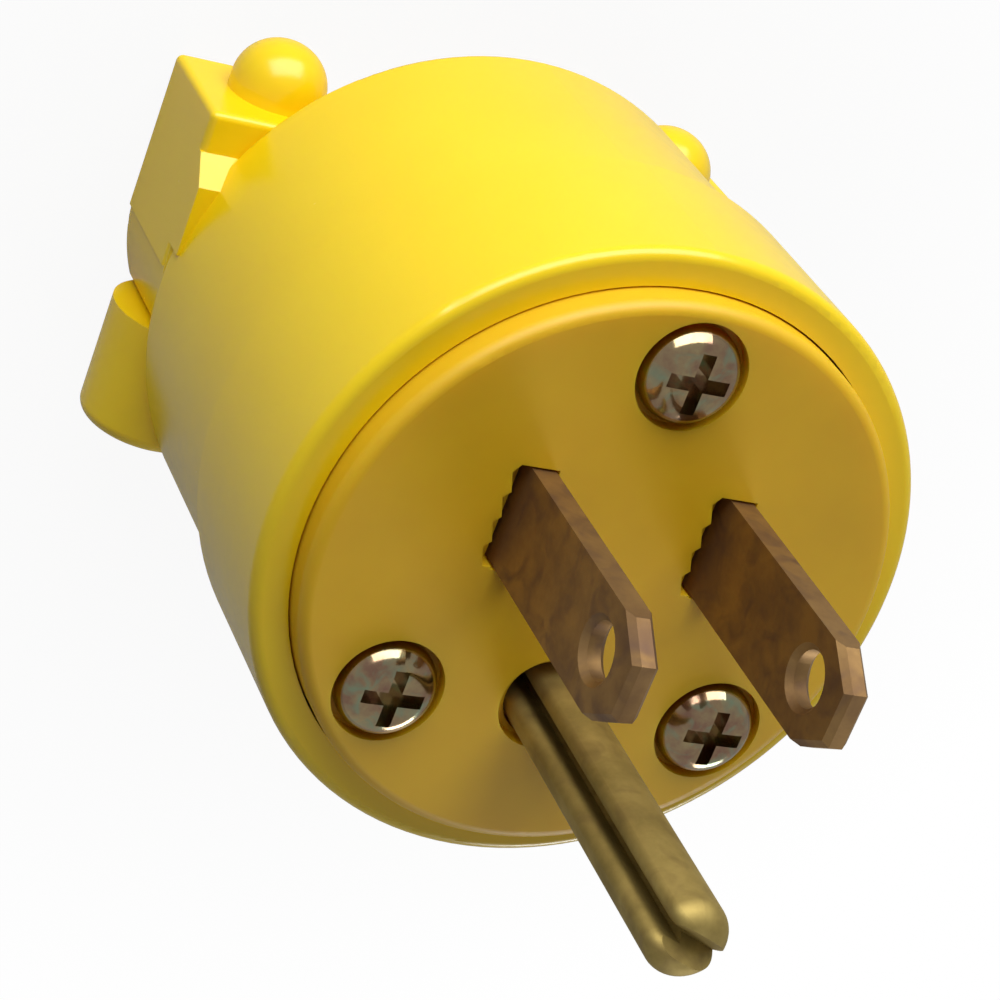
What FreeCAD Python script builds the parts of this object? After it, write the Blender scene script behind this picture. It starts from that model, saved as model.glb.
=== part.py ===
import FreeCAD, Part
import Sketcher
import math
import os
import re
from FreeCAD import Placement, Rotation, Vector

# A rewirable three-wire plug with flat blades.
# Millimetres. Each piece is drawn from the middle of the front disc's face, on the barrel's
# axis: -Y is the way the prongs point, +Y runs back to the cord, +Z is away from the ground pin.
# At the end every piece is stood up on the plug's rear end, with the prongs pointing up.

# Driving sizes: name, value, what it measures
SIZES = [
    ("disc_thickness", 5.0, "front disc, face to back"),
    ("disc_edge_round", 0.7, "rounding of the disc's front edge"),
    ("disc_proud", 1.9, "how far the disc stands out of the shell's end"),
    ("disc_gap", 0.12, "gap all round the disc in the shell's mouth"),
    ("blade_spacing", 12.7, "blade to blade, centre to centre"),
    ("blade_rise", 3.3, "blades' middle above the barrel's axis"),
    ("blade_width", 6.35, "blade, across its flat"),
    ("blade_thickness", 1.52, "blade, through its flat"),
    ("blade_length", 17.1, "blade, from the disc's face to its tip"),
    ("blade_hole_back", 4.0, "blade's hole from its tip"),
    ("blade_hole_radius", 1.59, "hole near the blade's tip"),
    ("blade_tip_cut", 1.5, "how much the blade narrows on each side at its tip"),
    ("blade_tip_slope", 2.3, "length of the slope at the blade's tip"),
    ("blade_tip_bevel", 0.35, "bevel round the blade's tip and hole"),
    ("blade_slot_gap", 0.15, "gap round a prong in the disc"),
    ("slot_relief_width", 0.55, "ragged relief beside a blade, at its narrowest"),
    ("slot_relief_tooth", 0.4, "how much further its teeth reach"),
    ("slot_relief_depth", 1.2, "depth of that relief"),
    ("shoulder_width", 8.6, "blade's shoulder behind the disc"),
    ("shoulder_depth", 1.0, "blade's shoulder, along the barrel"),
    ("tail_margin", 4.0, "blade's tail past its terminal screw"),
    ("ground_drop", 11.89, "ground pin below the blades' middle"),
    ("ground_radius", 2.38, "ground pin"),
    ("ground_length", 21.8, "ground pin, from the disc's face to its tip"),
    ("ground_tip_round", 1.3, "rounding of the ground pin's tip"),
    ("ground_groove_width", 0.8, "groove along the ground pin"),
    ("ground_groove_depth", 2.2, "depth of that groove"),
    ("ground_lip_round", 0.6, "rounding of the groove's lips"),
    ("ground_groove_turn", 67.0, "groove's turn from straight up to the line blade's side, degrees"),
    ("ground_notch_width", 1.9, "notch at the pin's tip"),
    ("ground_notch_depth", 1.5, "depth of that notch"),
    ("ground_relief_radius", 3.0, "relief round the pin in the disc"),
    ("ground_relief_shift", 0.45, "relief's shift towards the line blade's side"),
    ("ground_relief_depth", 1.3, "depth of that relief"),
    ("flange_radius", 3.6, "pin's flange behind the disc"),
    ("flange_depth", 1.0, "thickness of the flange"),
    ("tenon_radius", 1.6, "pin's tenon through the carrier and strap"),
    ("tenon_head_radius", 2.2, "staked end of the tenon"),
    ("tenon_head_height", 0.7, "height of the staked end"),
    ("collar_radius", 20.0, "shell's front collar"),
    ("collar_lip", 2.25, "from the collar's outside in to the disc's edge"),
    ("collar_end", 14.0, "end of the collar from the disc's face"),
    ("collar_slope", 0.7, "length of the slope behind the collar"),
    ("collar_edge_round", 0.7, "rounding of the shell's front edge"),
    ("collar_step", 0.7, "step from the collar down to the barrel"),
    ("tail_room", 5.1, "room between the blades' tails and the rear wall"),
    ("barrel_edge_round", 0.6, "rounding of the barrel's rear edge"),
    ("barrel_wall", 2.7, "wall of the barrel"),
    ("rear_wall", 4.5, "wall at the barrel's end"),
    ("clamp_length", 9.4, "clamp, from the barrel's end to the rear end"),
    ("cheek_radius", 12.0, "round sides of the clamp's fixed half"),
    ("cheek_inset", 0.1, "round sides inside the ears' outer sides"),
    ("cheek_middle", 1.8, "middle of that rounding above the axis"),
    ("cheek_top", 3.6, "ledge on top of the round sides, above the axis"),
    ("cheek_slope", 0.9, "slope from the barrel out to the round sides"),
    ("ear_inset", 0.7, "outer side of an ear inside the collar's"),
    ("nut_wall", 0.6, "wall between a nut's slot and the ear's inner side"),
    ("ear_top", 11.5, "top of an ear above the axis"),
    ("ear_round", 0.45, "rounding of the ears' edges"),
    ("bridge_drop", 3.1, "bridge between the ears below their tops"),
    ("bridge_round", 2.0, "rounding where the bridge meets an ear"),
    ("foot_reach", 1.6, "foot in front of an ear"),
    ("foot_slope", 1.7, "height of the slope in front of an ear"),
    ("foot_drop", 2.6, "top of that slope below the ear's top"),
    ("parting_low", 3.7, "underside of the fixed half below the axis"),
    ("dome_radius", 3.05, "blind dome over each clamp screw"),
    ("dome_height", 3.7, "height of the dome above the ear"),
    ("dome_round", 2.95, "rounding of the dome"),
    ("cord_radius", 5.5, "cord hole"),
    ("saddle_gap", 0.35, "gap between the clamp's halves"),
    ("lug_overhang", 0.4, "how far the lugs reach past the ears"),
    ("saddle_front_gap", 0.6, "gap between the barrel's end and the saddle"),
    ("saddle_low", 12.3, "underside of the saddle's lugs below the axis"),
    ("saddle_middle_low", 9.0, "underside of the saddle between its lugs, below the axis"),
    ("lug_inner_wall", 1.05, "wall between a counterbore and the lug's inner side"),
    ("saddle_round", 0.9, "rounding of the lugs' lower edges"),
    ("saddle_cord_gap", 0.3, "saddle's groove outside the cord hole"),
    ("rib_height", 0.3, "grip ribs in the saddle's groove"),
    ("rib_width", 0.9, "one grip rib"),
    ("rib_pitch", 2.6, "from one grip rib to the next"),
    ("clamp_screw_inset", 5.4, "clamp screw from the ear's outer side"),
    ("clamp_screw_radius", 1.95, "clamp screw's shank"),
    ("blind_hole_room", 1.4, "room above the clamp screw's end"),
    ("clamp_head_radius", 3.4, "clamp screw's head"),
    ("clamp_head_height", 2.2, "height of that head"),
    ("clamp_head_round", 1.1, "rounding of that head"),
    ("clamp_bore_gap", 0.2, "gap round the clamp screw"),
    ("blind_hole_rise", 1.1, "end of the screw's blind hole above the ear's top"),
    ("counterbore_gap", 0.25, "gap round the clamp screw's head"),
    ("counterbore_depth", 2.6, "counterbore in the saddle"),
    ("nut_side", 7.0, "square nut across its flats"),
    ("nut_height", 3.0, "height of the nut"),
    ("nut_low", 5.0, "floor of the nut's slot above the axis"),
    ("nut_slot_gap", 0.2, "gap beside and above the nut"),
    ("thread_gap", 0.04, "gap between a screw and its thread"),
    ("face_screw_inset", 4.25, "face screws from the disc's edge"),
    ("lower_screw_turn", 129.5, "lower face screws from the top one, degrees"),
    ("face_screw_radius", 1.75, "face screw's shank"),
    ("face_screw_short", 0.6, "face screw's end before the insert's"),
    ("face_head_radius", 3.0, "face screw's head"),
    ("face_head_height", 1.9, "height of that head"),
    ("face_head_round", 1.5, "rounding of that head"),
    ("face_recess_radius", 3.35, "recess for the head in the disc"),
    ("face_recess_depth", 1.0, "depth of that recess"),
    ("screw_hole_radius", 2.0, "hole for the face screw in disc and carrier"),
    ("cross_width", 0.85, "cross recess, one arm across"),
    ("cross_length", 3.7, "cross recess, tip to tip"),
    ("cross_depth", 1.25, "depth of the cross recess"),
    ("carrier_gap", 0.2, "gap between carrier and shell"),
    ("carrier_thickness", 7.0, "terminal carrier's plate"),
    ("carrier_slot_gap", 0.1, "gap round what the carrier holds"),
    ("barrier_thickness", 1.4, "wall between the two terminals"),
    ("barrier_short", 0.5, "end of that wall before the tails' ends"),
    ("barrier_low", 2.0, "underside of that wall below the axis"),
    ("barrier_high", 9.4, "top of that wall above the axis"),
    ("retainer_thickness", 1.0, "screw retainer"),
    ("retainer_radius", 3.0, "screw retainer's rim"),
    ("boss_radius", 3.4, "shell's bosses for the face screws"),
    ("insert_radius", 2.4, "thread insert"),
    ("insert_length", 7.0, "length of the thread insert"),
    ("insert_gap", 0.02, "gap between insert and boss"),
    ("boss_hole_room", 3.0, "boss's hole past the face screw"),
    ("seal_radius", 8.0, "cord seal's rim"),
    ("seal_thickness", 2.0, "cord seal"),
    ("seal_bore_gap", 0.1, "seal's hole outside the cord hole"),
    ("seal_seat_wall", 1.3, "wall of the seal's seat"),
    ("seal_seat_gap", 0.1, "gap between the seal and its seat"),
    ("terminal_set_back", 5.0, "line and neutral terminal screws behind the carrier"),
    ("ground_set_back", 5.7, "ground terminal screw behind the carrier"),
    ("terminal_screw_radius", 1.9, "terminal screw's shank"),
    ("terminal_screw_tip", 2.0, "how far a terminal screw passes its tail"),
    ("terminal_head_radius", 3.4, "terminal screw's head"),
    ("terminal_head_height", 2.1, "height of that head"),
    ("terminal_slot_width", 0.9, "slot in that head"),
    ("terminal_slot_depth", 1.0, "depth of that slot"),
    ("plate_side", 7.0, "square pressure plate"),
    ("plate_thickness", 1.2, "thickness of the pressure plate"),
    ("plate_hole_gap", 0.1, "gap round the screw in the pressure plate"),
    ("plate_corner", 0.8, "bevel at the plate's corners"),
    ("strap_thickness", 1.2, "ground strap"),
    ("strap_half_width", 3.8, "ground strap, half its width"),
    ("strap_low", 12.4, "lower end of the strap below the axis"),
    ("strap_arm_low", 6.0, "underside of the strap's arm below the axis"),
    ("strap_bend_round", 0.6, "rounding of the strap's bend"),
]

# Sizes that follow from others: name, formula, what it measures
FOLLOWING = [
    ("disc_radius", "collar_radius - collar_lip", "front disc, to its edge"),
    ("barrel_radius", "collar_radius - collar_step", "shell behind the collar"),
    ("face_screw_circle", "disc_radius - face_screw_inset", "face screws from the axis"),
    ("blade_hole_reach", "blade_length - blade_hole_back", "blade's hole from the disc's face"),
    ("carrier_back", "disc_thickness + carrier_thickness", "carrier's back from the disc's face"),
    ("boss_front", "carrier_back + retainer_thickness", "shell's bosses from the disc's face"),
    ("face_screw_end", "boss_front + insert_length - face_screw_short", "face screw's end"),
    ("boss_hole_end", "face_screw_end + boss_hole_room", "end of a boss's hole"),
    ("terminal_back", "carrier_back + terminal_set_back", "line and neutral terminal screws"),
    ("ground_terminal_back", "carrier_back + ground_set_back", "ground terminal screw"),
    ("tail_end", "terminal_back + tail_margin", "end of the blades' tails"),
    ("barrier_end", "tail_end - barrier_short", "end of the wall between the terminals"),
    ("barrel_end", "tail_end + tail_room + rear_wall", "end of the barrel"),
    ("clamp_end", "barrel_end + clamp_length", "rear end of the plug"),
    ("lug_radius", "(clamp_length - saddle_front_gap) / 2", "round ends of the saddle's lugs"),
    ("clamp_screw_back", "clamp_end - lug_radius", "clamp screws from the disc's face"),
    ("ear_half_width", "collar_radius - ear_inset", "outer side of an ear from the axis"),
    ("clamp_screw_side", "ear_half_width - clamp_screw_inset", "clamp screw from the axis"),
    ("ear_inner", "clamp_screw_side - nut_side / 2 - nut_slot_gap - nut_wall", "inner side of an ear"),
    ("cheek_side", "ear_half_width - cheek_inset - cheek_radius", "middle of the round sides"),
    ("bridge_top", "ear_top - bridge_drop", "top of the bridge above the axis"),
    ("foot_high", "ear_top - foot_drop", "top of the slope in front of an ear"),
    ("foot_low", "foot_high - foot_slope", "lower end of that slope"),
    ("clamp_blind_end", "ear_top + blind_hole_rise", "end of the clamp screw's blind hole"),
    ("clamp_screw_top", "clamp_blind_end - blind_hole_room", "upper end of the clamp screw"),
    ("lug_side", "ear_half_width + lug_overhang - lug_radius", "middle of the lugs' round ends"),
    ("saddle_lug_inner", "clamp_screw_side - clamp_head_radius - counterbore_gap - lug_inner_wall",
     "inner side of a lug"),
]

SLOT_TEETH = 4
SIDES = ("", "-")
# Radius of the ring on which an outline's corners start before its formulas place them
GUESS = 9

SIDEWAYS = Vector(1, 0, 0)
BACKWARDS = Vector(0, 1, 0)
UPWARDS = Vector(0, 0, 1)

doc = FreeCAD.newDocument("plug")
sheet = doc.addObject("Spreadsheet::Sheet", "Sizes")
for row, (alias, value, meaning) in enumerate(SIZES, start=1):
    sheet.set(f"A{row}", alias)
    sheet.set(f"B{row}", str(value))
    sheet.set(f"C{row}", meaning)
    sheet.setAlias(f"B{row}", alias)
for row, (alias, formula, meaning) in enumerate(FOLLOWING, start=len(SIZES) + 1):
    sheet.set(f"A{row}", alias)
    sheet.set(f"B{row}", f"={formula}")
    sheet.set(f"C{row}", meaning)
    sheet.setAlias(f"B{row}", alias)
doc.recompute()

NAMES = [alias for alias, _, _ in SIZES + FOLLOWING]
ALIASES = re.compile(r"\b(" + "|".join(NAMES) + r")\b")


def size(alias):
    """The value that the sheet holds under a name."""
    return float(sheet.get(alias))


def bound(formula):
    """A formula in size names, written the way that another object refers to the sheet."""
    return ALIASES.sub(r"Sizes.\1", formula)


# Places that several pieces share
CAVITY_RADIUS = "(barrel_radius - barrel_wall)"
CAVITY_END = "(barrel_end - rear_wall)"
MOUTH_RADIUS = "(disc_radius + disc_gap)"
GROUND_LOW = "(ground_drop - blade_rise)"
SADDLE_TOP = "(parting_low + saddle_gap)"
COUNTERBORE_FLOOR = "(saddle_low - counterbore_depth)"
SHOULDER_BACK = "(disc_thickness + shoulder_depth)"
FLANGE_BACK = "(disc_thickness + flange_depth)"
STRAP_BACK = "(carrier_back + strap_thickness)"
BLADE_IN = "(blade_spacing / 2 - blade_thickness / 2)"
BLADE_OUT = "(blade_spacing / 2 + blade_thickness / 2)"


# The three face screws: one at the top, two lower ones turned from it
SCREW_PLACES = [("0", "face_screw_circle")] + [
    (f"{side}face_screw_circle * sin(lower_screw_turn * 1 deg)",
     "face_screw_circle * cos(lower_screw_turn * 1 deg)") for side in SIDES]


# Sketches

def own(body, role):
    """One of the body's own origin planes or axes."""
    return [part for part in body.Origin.OriginFeatures if part.Role == role][0]


def sketch(body, name, plane, move=("0", "0", "0"), axis=None, turn="0"):
    """A sketch on one of the body's own planes, moved and turned by formulas."""
    flat = body.newObject("Sketcher::SketchObject", name)
    flat.AttachmentSupport = [(own(body, plane), "")]
    flat.MapMode = "FlatFace"
    if axis is not None:
        flat.AttachmentOffset = Placement(Vector(0, 0, 0), Rotation(axis, 10))
        flat.setExpression(".AttachmentOffset.Rotation.Angle", bound(turn))
    for letter, formula in zip("xyz", move):
        if formula != "0":
            flat.setExpression(f".AttachmentOffset.Base.{letter}", bound(formula))
    flat.Visibility = False
    return flat


def across(body, name, back, side="0", up="0"):
    """A sketch square to the barrel's axis: its X is +X, its Y is +Z, seen from the prongs."""
    return sketch(body, name, "XZ_Plane", (side, up, f"-({back})"))


def hold(flat, kind, geometry, point, start, formula):
    """Ties one point's distance from the sketch's origin to a formula."""
    number = flat.addConstraint(Sketcher.Constraint(kind, -1, 1, geometry, point, start))
    flat.setExpression(f"Constraints[{number}]", bound(formula))


def outline(flat, corners):
    """A closed outline of straight lines, each corner tied to its two formulas."""
    count = len(corners)
    first = flat.GeometryCount
    starts = []
    for k in range(count):
        turn = 2 * math.pi * (k + 0.31) / count
        starts.append(Vector(GUESS * math.cos(turn), GUESS * math.sin(turn), 0))
    for k in range(count):
        flat.addGeometry(Part.LineSegment(starts[k], starts[(k + 1) % count]))
    for k in range(count):
        following = first + (k + 1) % count
        flat.addConstraint(Sketcher.Constraint("Coincident", first + k, 2, following, 1))
    for k, (sideways, up) in enumerate(corners):
        hold(flat, "DistanceX", first + k, 1, starts[k].x, sideways)
        hold(flat, "DistanceY", first + k, 1, starts[k].y, up)


def rectangle(flat, left, right, low, high):
    """A rectangle between two formulas each way."""
    outline(flat, [(left, low), (right, low), (right, high), (left, high)])


def circle(flat, sideways, up, radius):
    """A circle, its middle and radius tied to formulas."""
    number = flat.addGeometry(Part.Circle(Vector(1, 1, 0), Vector(0, 0, 1), 2))
    hold(flat, "DistanceX", number, 3, 1, sideways)
    hold(flat, "DistanceY", number, 3, 1, up)
    limit = flat.addConstraint(Sketcher.Constraint("Radius", number, 2))
    flat.setExpression(f"Constraints[{limit}]", bound(radius))


def screw_circles(flat, radius):
    """A circle at each face screw's place."""
    for side, up in SCREW_PLACES:
        circle(flat, side, up, radius)


def cross(flat, sideways, up):
    """The outline of a cross recess about a place given by two formulas."""
    arm = "cross_length / 2"
    half = "cross_width / 2"
    corners = [
        (arm, f"-{half}"), (arm, half), (half, half), (half, arm),
        (f"-{half}", arm), (f"-{half}", half), (f"-{arm}", half), (f"-{arm}", f"-{half}"),
        (f"-{half}", f"-{half}"), (f"-{half}", f"-{arm}"), (half, f"-{arm}"), (half, f"-{half}"),
    ]
    outline(flat, [(f"{sideways} + {x}", f"{up} + {y}") for x, y in corners])


# Features

def feature(kind, body, flat, name, length, reverse=False):
    """A pad or pocket of a sketch."""
    made = body.newObject("PartDesign::" + kind, name)
    made.Profile = flat
    made.setExpression("Length", bound(length))
    made.Reversed = reverse
    body.Tip = made
    return made


def turned(body, flat, name, axis):
    """A sketch turned once round one of its own two axes."""
    made = body.newObject("PartDesign::Revolution", name)
    made.Profile = flat
    made.ReferenceAxis = (flat, [axis])
    made.Angle = 360.0
    body.Tip = made
    return made


def rounded(body, name, radius, wanted, kind="Fillet"):
    """Rounds or bevels the edges of the body so far that a test picks."""
    base = body.Tip
    doc.recompute()
    edges = [f"Edge{k}" for k, edge in enumerate(base.Shape.Edges, start=1)
             if not edge.Degenerated and wanted(edge)]
    if not edges:
        raise ValueError(f"{body.Name}: {name} picks no edge")
    made = body.newObject("PartDesign::" + kind, name)
    made.Base = (base, edges)
    made.setExpression("Radius" if kind == "Fillet" else "Size", bound(radius))
    body.Tip = made
    return made


def near(first, second, slack=0.01):
    """Whether two numbers are the same size."""
    return abs(first - second) < slack


def ends(edge):
    """The two end points of an edge."""
    return [vertex.Point for vertex in edge.Vertexes]


def is_arc(edge, radius, direction, place):
    """Whether an edge is part of a circle of a radius, at a place along a direction."""
    if not isinstance(edge.Curve, Part.Circle):
        return False
    return near(edge.Curve.Radius, radius) and near(edge.Curve.Center.dot(direction), place)


def is_ring(edge, radius, direction, place):
    """Whether an edge is a whole circle of a radius, at a place along a direction."""
    return len(edge.Vertexes) == 1 and is_arc(edge, radius, direction, place)


def is_along(edge, direction):
    """Whether an edge is a straight line in a direction."""
    if len(edge.Vertexes) != 2 or not isinstance(edge.Curve, Part.Line):
        return False
    start, end = ends(edge)
    return (end - start).normalize().cross(direction).Length < 0.001


def new_body(name):
    """A body whose label is the name of its node, and which may hold several solids."""
    body = doc.addObject("PartDesign::Body", name)
    body.Label = name
    body.AllowCompound = True
    return body


# Shell with the fixed half of the cord clamp

def make_cheeks():
    """The round sides of the fixed clamp half, by themselves."""
    body = new_body("cheeks")
    front = "(barrel_end - cheek_slope)"
    for number, side in enumerate(SIDES, start=1):
        flat = across(body, f"cheek_circle_{number}", front)
        circle(flat, f"{side}cheek_side", "cheek_middle", "cheek_radius")
        feature("Pad", body, flat, f"cheek_{number}", f"clamp_end - {front}", True)
    radius = size("cheek_radius")
    rounded(body, "cheek_fronts", "cheek_slope",
            lambda edge: is_arc(edge, radius, BACKWARDS, size("barrel_end") - size("cheek_slope")),
            "Chamfer")
    rounded(body, "cheek_backs", "ear_round",
            lambda edge: is_arc(edge, radius, BACKWARDS, size("clamp_end")))
    flat = across(body, "cheek_trim", front)
    rectangle(flat, "-3 * cheek_radius", "3 * cheek_radius", "cheek_top", "cheek_top + 2 * cheek_radius")
    rectangle(flat, "-3 * cheek_radius", "3 * cheek_radius", "-2 * cheek_radius", "-parting_low")
    feature("Pocket", body, flat, "cheek_ends", "clamp_end")
    return body


def make_ears():
    """The two ears with the bridge between them, by themselves."""
    body = new_body("ears")
    half = size("ear_half_width")
    top = size("ear_top")
    flat = across(body, "ear_profile", "barrel_end")
    outline(flat, [
        ("-ear_half_width", "cheek_top - 2.6"),
        ("ear_half_width", "cheek_top - 2.6"),
        ("ear_half_width", "ear_top"),
        ("ear_inner", "ear_top"),
        ("ear_inner", "bridge_top"),
        ("-ear_inner", "bridge_top"),
        ("-ear_inner", "ear_top"),
        ("-ear_half_width", "ear_top"),
    ])
    feature("Pad", body, flat, "ear_block", "clamp_end - barrel_end", True)
    rounded(body, "bridge_corners", "bridge_round",
            lambda edge: is_along(edge, BACKWARDS) and near(edge.CenterOfMass.z, size("bridge_top")))
    rounded(body, "ear_edges", "ear_round",
            lambda edge: all(near(point.z, top) for point in ends(edge))
            or (isinstance(edge.Curve, Part.Line)
                and edge.CenterOfMass.z > size("cheek_top") - 2.5
                and all(near(abs(point.x), half) for point in ends(edge))))
    flat = sketch(body, "foot_profile", "YZ_Plane", ("0", "0", "-ear_half_width"))
    outline(flat, [
        ("barrel_end + ear_round", "cheek_top - 1"),
        ("barrel_end + ear_round", "foot_high"),
        ("barrel_end", "foot_high"),
        ("barrel_end - foot_reach", "foot_low"),
        ("barrel_end - foot_reach", "cheek_top - 1"),
    ])
    feature("Pad", body, flat, "feet", "2 * ear_half_width")
    flat = sketch(body, "dome_circles", "XY_Plane", ("0", "0", "ear_top - 1"))
    circle(flat, "clamp_screw_side", "clamp_screw_back", "dome_radius")
    circle(flat, "-clamp_screw_side", "clamp_screw_back", "dome_radius")
    feature("Pad", body, flat, "domes", "dome_height + 1")
    crown = top + size("dome_height")
    rounded(body, "dome_tops", "dome_round",
            lambda edge: isinstance(edge.Curve, Part.Circle) and near(edge.CenterOfMass.z, crown))
    return body


def make_rear_shell():
    """Barrel, collar, bosses and the fixed clamp half with its two ears."""
    cheeks = make_cheeks()
    ears = make_ears()
    body = new_body("rear_shell")
    flat = sketch(body, "shell_profile", "YZ_Plane")
    outline(flat, [
        ("disc_proud", MOUTH_RADIUS),
        ("disc_proud", "collar_radius"),
        ("collar_end", "collar_radius"),
        ("collar_end + collar_slope", "barrel_radius"),
        ("barrel_end", "barrel_radius"),
        ("barrel_end", "0"),
        (CAVITY_END, "0"),
        (CAVITY_END, CAVITY_RADIUS),
        ("disc_thickness", CAVITY_RADIUS),
        ("disc_thickness", MOUTH_RADIUS),
    ])
    turned(body, flat, "barrel", "H_Axis")
    rounded(body, "collar_edge", "collar_edge_round",
            lambda edge: is_ring(edge, size("collar_radius"), BACKWARDS, size("disc_proud")))
    rounded(body, "barrel_edge", "barrel_edge_round",
            lambda edge: is_ring(edge, size("barrel_radius"), BACKWARDS, size("barrel_end")))
    union = body.newObject("PartDesign::Boolean", "with_clamp_half")
    union.setObjects([cheeks, ears])
    union.Type = "Fuse"
    body.Tip = union

    # Cord hole, and the channel below it that lets the saddle press on the cord
    flat = across(body, "cord_hole_circle", f"{CAVITY_END} - 1")
    circle(flat, "0", "0", "cord_radius")
    feature("Pocket", body, flat, "cord_hole", f"clamp_end - {CAVITY_END} + 2")
    flat = across(body, "cord_channel_profile", "barrel_end")
    rectangle(flat, "-cord_radius", "cord_radius", "-parting_low - 1", "0")
    feature("Pocket", body, flat, "cord_channel", "clamp_end - barrel_end + 1")

    # Seat for the cord seal inside the rear wall
    flat = across(body, "seal_seat_rings", f"{CAVITY_END} - seal_thickness")
    circle(flat, "0", "0", "seal_radius + seal_seat_gap")
    circle(flat, "0", "0", "seal_radius + seal_seat_gap + seal_seat_wall")
    feature("Pad", body, flat, "seal_seat", "seal_thickness + 0.5", True)

    # Bosses for the face screws, each with a hole for its insert
    flat = across(body, "boss_circles", "boss_front")
    screw_circles(flat, "boss_radius")
    feature("Pad", body, flat, "bosses", f"{CAVITY_END} - boss_front + 0.5", True)
    flat = across(body, "insert_hole_circles", "boss_front")
    screw_circles(flat, "insert_radius + insert_gap")
    feature("Pocket", body, flat, "insert_holes", "insert_length")
    flat = across(body, "tip_hole_circles", "boss_front")
    screw_circles(flat, "screw_hole_radius")
    feature("Pocket", body, flat, "tip_holes", f"boss_hole_end - boss_front")

    # Blind screw hole up each ear, and a slot for its nut from the rear
    flat = sketch(body, "clamp_hole_circles", "XY_Plane", ("0", "0", "clamp_blind_end"))
    for side in SIDES:
        circle(flat, f"{side}clamp_screw_side", "clamp_screw_back", "clamp_screw_radius + clamp_bore_gap")
    feature("Pocket", body, flat, "clamp_holes", "clamp_blind_end + parting_low + 1")
    flat = across(body, "nut_slot_profiles", "clamp_screw_back - nut_side / 2 - nut_slot_gap")
    reach = "(nut_side / 2 + nut_slot_gap)"
    for side in SIDES:
        rectangle(flat, f"{side}clamp_screw_side - {reach}", f"{side}clamp_screw_side + {reach}",
                  "nut_low", "nut_low + nut_height + nut_slot_gap")
    feature("Pocket", body, flat, "nut_slots", "clamp_end")
    return body


def make_clamp_saddle():
    """Loose half of the cord clamp: two round-ended lugs and a bar with a ribbed groove."""
    body = new_body("clamp_saddle")
    front = "(clamp_screw_back - lug_radius)"
    flat = across(body, "bar_profile", front)
    rectangle(flat, "-lug_side", "lug_side", "-saddle_middle_low", f"-{SADDLE_TOP}")
    feature("Pad", body, flat, "bar", "2 * lug_radius", True)
    for number, side in enumerate(SIDES, start=1):
        flat = across(body, f"lug_profile_{number}", front)
        rectangle(flat, f"{side}saddle_lug_inner", f"{side}lug_side", "-saddle_low", f"-{SADDLE_TOP}")
        feature("Pad", body, flat, f"lug_{number}", "2 * lug_radius", True)
    flat = sketch(body, "round_end_circles", "XY_Plane", ("0", "0", "-saddle_low"))
    for side in SIDES:
        circle(flat, f"{side}lug_side", "clamp_screw_back", "lug_radius")
    feature("Pad", body, flat, "round_ends", f"saddle_low - {SADDLE_TOP}")
    low = -size("saddle_low")
    rounded(body, "lug_edges", "saddle_round",
            lambda edge: all(near(point.z, low) for point in ends(edge)))
    flat = across(body, "groove_circle", f"{front} - 1")
    circle(flat, "0", "0", "cord_radius + saddle_cord_gap")
    feature("Pocket", body, flat, "cord_groove", "clamp_end")

    # Grip ribs across the groove
    for number, shift in (("one", "-rib_pitch"), ("two", "0"), ("three", "rib_pitch")):
        flat = across(body, f"rib_{number}_profile", f"clamp_screw_back + {shift} - rib_width / 2")
        rectangle(flat, "-cord_radius / 2", "cord_radius / 2",
                  f"-{SADDLE_TOP} - 1.5", f"-(cord_radius + saddle_cord_gap) + rib_height")
        feature("Pad", body, flat, f"rib_{number}", "rib_width", True)

    # Screw holes with counterbores from below
    flat = sketch(body, "hole_circles", "XY_Plane", ("0", "0", f"-{SADDLE_TOP} + 1"))
    for side in SIDES:
        circle(flat, f"{side}clamp_screw_side", "clamp_screw_back", "clamp_screw_radius + clamp_bore_gap")
    feature("Pocket", body, flat, "screw_holes", "saddle_low + 1")
    flat = sketch(body, "counterbore_circles", "XY_Plane", ("0", "0", f"-{COUNTERBORE_FLOOR}"))
    for side in SIDES:
        circle(flat, f"{side}clamp_screw_side", "clamp_screw_back", "clamp_head_radius + counterbore_gap")
    feature("Pocket", body, flat, "counterbores", "counterbore_depth + 1")
    return body


def make_clamp_screws():
    """Two round-head screws that pull the saddle up, with their heads below."""
    body = new_body("clamp_screws")
    head_low = f"-({COUNTERBORE_FLOOR} + clamp_head_height)"
    for number, side in enumerate(SIDES, start=1):
        flat = across(body, f"screw_profile_{number}", "clamp_screw_back", f"{side}clamp_screw_side")
        outline(flat, [
            ("0", "clamp_screw_top"),
            ("0", head_low),
            ("clamp_head_radius", head_low),
            ("clamp_head_radius", f"-{COUNTERBORE_FLOOR}"),
            ("clamp_screw_radius", f"-{COUNTERBORE_FLOOR}"),
            ("clamp_screw_radius", "clamp_screw_top"),
        ])
        turned(body, flat, f"screw_{number}", "V_Axis")
    crown = size("counterbore_depth") - size("saddle_low") - size("clamp_head_height")
    rounded(body, "head_edges", "clamp_head_round",
            lambda edge: is_ring(edge, size("clamp_head_radius"), UPWARDS, crown))
    flat = sketch(body, "cross_outlines", "XY_Plane", ("0", "0", head_low))
    for side in SIDES:
        cross(flat, f"{side}clamp_screw_side", "clamp_screw_back")
    feature("Pocket", body, flat, "cross_recesses", "cross_depth", True)
    return body


def make_clamp_nuts():
    """Two square nuts, one in each ear."""
    body = new_body("clamp_nuts")
    flat = sketch(body, "nut_outlines", "XY_Plane", ("0", "0", "nut_low"))
    for side in SIDES:
        rectangle(flat, f"{side}clamp_screw_side - nut_side / 2", f"{side}clamp_screw_side + nut_side / 2",
                  "clamp_screw_back - nut_side / 2", "clamp_screw_back + nut_side / 2")
        circle(flat, f"{side}clamp_screw_side", "clamp_screw_back", "clamp_screw_radius + thread_gap")
    feature("Pad", body, flat, "nuts", "nut_height")
    return body


# Front disc and the prongs

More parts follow.
